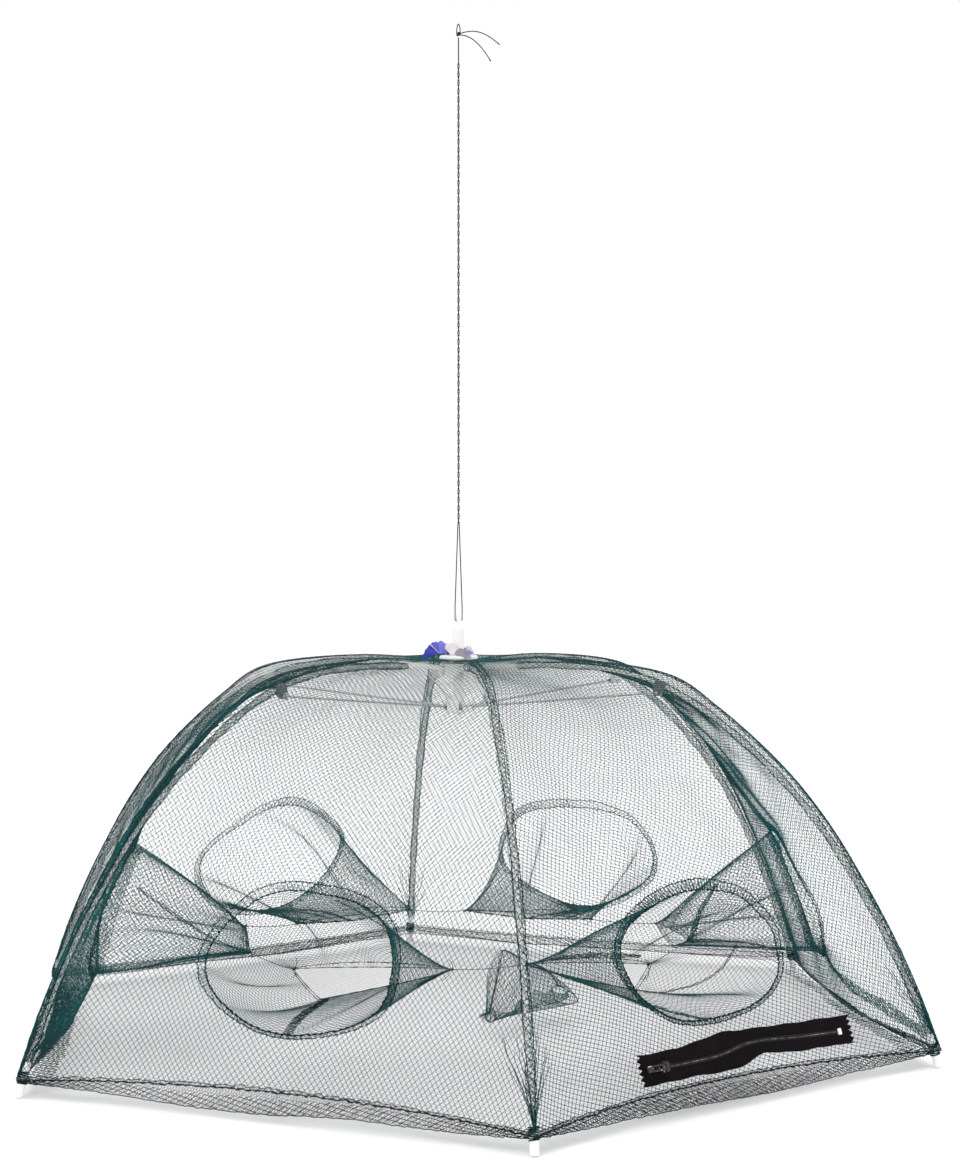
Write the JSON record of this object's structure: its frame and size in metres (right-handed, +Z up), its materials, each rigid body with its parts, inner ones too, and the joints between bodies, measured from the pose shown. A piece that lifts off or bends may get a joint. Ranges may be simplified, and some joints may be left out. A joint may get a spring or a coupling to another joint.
{
  "type": "foldable umbrella fishing trap",
  "caption": "Folding umbrella-style fish and crayfish trap: net dome on curved ribs, inward entrance funnels, zip, central hub with runner, and pull string.",
  "frame": {"origin": "on the ground, under the hub's axis", "axes": "+Z up along the hub's axis; rib 1 points to -Y and the others follow counter-clockwise seen from above"},
  "size_m": [0.7814, 0.9012, 0.9336],
  "materials": {
    "white_plastic": "white moulded plastic",
    "white_rod": "smooth white glass-fibre rod",
    "grey_plastic": "dark grey moulded plastic",
    "steel_wire": "drawn steel wire",
    "net_twine": "knotted dark green-blue twine",
    "woven_cloth": "woven plastic cloth, blue with pale stripes",
    "dark_string": "twisted near-black string",
    "black_tape": "black woven zip tape and coil",
    "black_metal": "black painted metal"
  },
  "bodies": {
    "hub": {"hub_crown": "white_plastic", "hub_hinge_ring": "steel_wire", "hub_cap": "white_plastic", "cloth_rosette": "woven_cloth", "bait_bag": "net_twine"},
    "post": {"pull_post": "white_plastic", "runner": "white_plastic", "runner_hinge_ring": "steel_wire", "pull_cord_left": "dark_string", "pull_cord_right": "dark_string", "pull_cord_knot": "dark_string"},
    "rib_arm_1": {"rib_1": "white_rod", "rib_clip_1": "grey_plastic", "foot_tube_1": "white_plastic", "net_wall_1": "net_twine", "net_funnel_1": "net_twine"},
    "rib_arm_2": {"rib_2": "white_rod", "rib_clip_2": "grey_plastic", "foot_tube_2": "white_plastic", "net_wall_2": "net_twine", "net_funnel_2": "net_twine"},
    "rib_arm_3": {"rib_3": "white_rod", "rib_clip_3": "grey_plastic", "foot_tube_3": "white_plastic", "net_wall_3": "net_twine", "net_funnel_3": "net_twine"},
    "rib_arm_4": {"rib_4": "white_rod", "rib_clip_4": "grey_plastic", "foot_tube_4": "white_plastic", "net_wall_4": "net_twine", "net_funnel_4": "net_twine"},
    "rib_arm_5": {"rib_5": "white_rod", "rib_clip_5": "grey_plastic", "foot_tube_5": "white_plastic", "net_wall_5": "net_twine", "net_funnel_5": "net_twine"},
    "rib_arm_6": {"rib_6": "white_rod", "rib_clip_6": "grey_plastic", "foot_tube_6": "white_plastic", "net_wall_6": "net_twine", "net_funnel_6": "net_twine"},
    "stretcher_arm_1": {"stretcher_1": "steel_wire"},
    "stretcher_arm_2": {"stretcher_2": "steel_wire"},
    "stretcher_arm_3": {"stretcher_3": "steel_wire"},
    "stretcher_arm_4": {"stretcher_4": "steel_wire"},
    "stretcher_arm_5": {"stretcher_5": "steel_wire"},
    "stretcher_arm_6": {"stretcher_6": "steel_wire"},
    "floor_fold_1": {"net_floor_1": "net_twine"},
    "floor_fold_2": {"net_floor_2": "net_twine"},
    "floor_fold_3": {"net_floor_3": "net_twine"},
    "floor_fold_4": {"net_floor_4": "net_twine"},
    "floor_fold_5": {"net_floor_5": "net_twine"},
    "floor_fold_6": {"net_floor_6": "net_twine"},
    "zip": {"zip_tape": "black_tape", "zip_coil": "black_tape", "zip_stop": "white_plastic"},
    "slider": {"zip_slider": "black_metal"},
    "pull_tab": {"zip_pull": "black_metal"}
  },
  "joints": [
    {"name": "runner_slide", "type": "slide", "parent": "hub", "child": "post", "axis": [0, 0, -1], "range_m": [0, 0.2692], "deforming": ["net_wall_1", "net_wall_2", "net_wall_3", "net_wall_4", "net_wall_5", "net_wall_6", "net_floor_1", "net_floor_2", "net_floor_3", "net_floor_4", "net_floor_5", "net_floor_6", "net_funnel_1", "net_funnel_2", "net_funnel_3", "net_funnel_4", "net_funnel_5", "net_funnel_6"]},
    {"name": "rib_hinge_1", "type": "hinge", "parent": "hub", "child": "rib_arm_1", "pos_m": [0, -0.014, 0.3335], "axis": [1, 0, 0], "range_deg": [0, 51.4]},
    {"name": "rib_hinge_2", "type": "hinge", "parent": "hub", "child": "rib_arm_2", "pos_m": [0.01212, -0.007, 0.3335], "axis": [0.5, 0.866, 0], "range_deg": [0, 51.4]},
    {"name": "rib_hinge_3", "type": "hinge", "parent": "hub", "child": "rib_arm_3", "pos_m": [0.01212, 0.007, 0.3335], "axis": [-0.5, 0.866, 0], "range_deg": [0, 51.4]},
    {"name": "rib_hinge_4", "type": "hinge", "parent": "hub", "child": "rib_arm_4", "pos_m": [0, 0.014, 0.3335], "axis": [-1, 0, 0], "range_deg": [0, 51.4]},
    {"name": "rib_hinge_5", "type": "hinge", "parent": "hub", "child": "rib_arm_5", "pos_m": [-0.01212, 0.007, 0.3335], "axis": [-0.5, -0.866, 0], "range_deg": [0, 51.4]},
    {"name": "rib_hinge_6", "type": "hinge", "parent": "hub", "child": "rib_arm_6", "pos_m": [-0.01212, -0.007, 0.3335], "axis": [0.5, -0.866, 0], "range_deg": [0, 51.4]},
    {"name": "stretcher_hinge_1", "type": "hinge", "parent": "post", "child": "stretcher_arm_1", "pos_m": [0, -0.012, 0.298], "axis": [-1, 0, 0], "range_deg": [0, 51.4]},
    {"name": "stretcher_hinge_2", "type": "hinge", "parent": "post", "child": "stretcher_arm_2", "pos_m": [0.01039, -0.006, 0.298], "axis": [-0.5, -0.866, 0], "range_deg": [0, 51.4]},
    {"name": "stretcher_hinge_3", "type": "hinge", "parent": "post", "child": "stretcher_arm_3", "pos_m": [0.01039, 0.006, 0.298], "axis": [0.5, -0.866, 0], "range_deg": [0, 51.4]},
    {"name": "stretcher_hinge_4", "type": "hinge", "parent": "post", "child": "stretcher_arm_4", "pos_m": [0, 0.012, 0.298], "axis": [1, 0, 0], "range_deg": [0, 51.4]},
    {"name": "stretcher_hinge_5", "type": "hinge", "parent": "post", "child": "stretcher_arm_5", "pos_m": [-0.01039, 0.006, 0.298], "axis": [0.5, 0.866, 0], "range_deg": [0, 51.4]},
    {"name": "stretcher_hinge_6", "type": "hinge", "parent": "post", "child": "stretcher_arm_6", "pos_m": [-0.01039, -0.006, 0.298], "axis": [-0.5, 0.866, 0], "range_deg": [0, 51.4]},
    {"name": "floor_hinge_1", "type": "hinge", "parent": "rib_arm_1", "child": "floor_fold_1", "pos_m": [0, -0.44361, 0.012], "axis": [1, 0, 0], "range_deg": [0, 38.8]},
    {"name": "floor_hinge_2", "type": "hinge", "parent": "rib_arm_2", "child": "floor_fold_2", "pos_m": [0.38418, -0.2218, 0.012], "axis": [0.5, 0.866, 0], "range_deg": [0, 38.8]},
    {"name": "floor_hinge_3", "type": "hinge", "parent": "rib_arm_3", "child": "floor_fold_3", "pos_m": [0.38418, 0.2218, 0.012], "axis": [-0.5, 0.866, 0], "range_deg": [0, 38.8]},
    {"name": "floor_hinge_4", "type": "hinge", "parent": "rib_arm_4", "child": "floor_fold_4", "pos_m": [0, 0.44361, 0.012], "axis": [-1, 0, 0], "range_deg": [0, 38.8]},
    {"name": "floor_hinge_5", "type": "hinge", "parent": "rib_arm_5", "child": "floor_fold_5", "pos_m": [-0.38418, 0.2218, 0.012], "axis": [-0.5, -0.866, 0], "range_deg": [0, 38.8]},
    {"name": "floor_hinge_6", "type": "hinge", "parent": "rib_arm_6", "child": "floor_fold_6", "pos_m": [-0.38418, -0.2218, 0.012], "axis": [0.5, -0.866, 0], "range_deg": [0, 38.8]},
    {"name": "zip_fold", "type": "hinge", "parent": "rib_arm_2", "child": "zip", "pos_m": [0.29651, -0.24958, 0.04], "axis": [0.4698, -0.8138, 0.342], "range_deg": [-75.1, 0]},
    {"name": "zip_slide", "type": "slide", "parent": "zip", "child": "slider", "axis": [0.866, 0.5, 0], "range_m": [0, 0.1928]},
    {"name": "pull_swing", "type": "hinge", "parent": "slider", "child": "pull_tab", "pos_m": [0.11692, -0.36252, 0.04242], "axis": [-0.171, 0.2962, 0.9397], "range_deg": [0, 150]}
  ],
  "couplings": [
    {"joint": "rib_hinge_1", "follows": "runner_slide", "rad_per_m": 3.3291},
    {"joint": "rib_hinge_2", "follows": "runner_slide", "rad_per_m": 3.3291},
    {"joint": "rib_hinge_3", "follows": "runner_slide", "rad_per_m": 3.3291},
    {"joint": "rib_hinge_4", "follows": "runner_slide", "rad_per_m": 3.3291},
    {"joint": "rib_hinge_5", "follows": "runner_slide", "rad_per_m": 3.3291},
    {"joint": "rib_hinge_6", "follows": "runner_slide", "rad_per_m": 3.3291},
    {"joint": "stretcher_hinge_1", "follows": "runner_slide", "rad_per_m": 3.3242},
    {"joint": "stretcher_hinge_2", "follows": "runner_slide", "rad_per_m": 3.3242},
    {"joint": "stretcher_hinge_3", "follows": "runner_slide", "rad_per_m": 3.3242},
    {"joint": "stretcher_hinge_4", "follows": "runner_slide", "rad_per_m": 3.3242},
    {"joint": "stretcher_hinge_5", "follows": "runner_slide", "rad_per_m": 3.3242},
    {"joint": "stretcher_hinge_6", "follows": "runner_slide", "rad_per_m": 3.3242},
    {"joint": "floor_hinge_1", "follows": "runner_slide", "rad_per_m": 2.505},
    {"joint": "floor_hinge_2", "follows": "runner_slide", "rad_per_m": 2.505},
    {"joint": "floor_hinge_3", "follows": "runner_slide", "rad_per_m": 2.505},
    {"joint": "floor_hinge_4", "follows": "runner_slide", "rad_per_m": 2.505},
    {"joint": "floor_hinge_5", "follows": "runner_slide", "rad_per_m": 2.505},
    {"joint": "floor_hinge_6", "follows": "runner_slide", "rad_per_m": 2.505},
    {"joint": "zip_fold", "follows": "runner_slide", "rad_per_m": -4.8625}
  ]
}
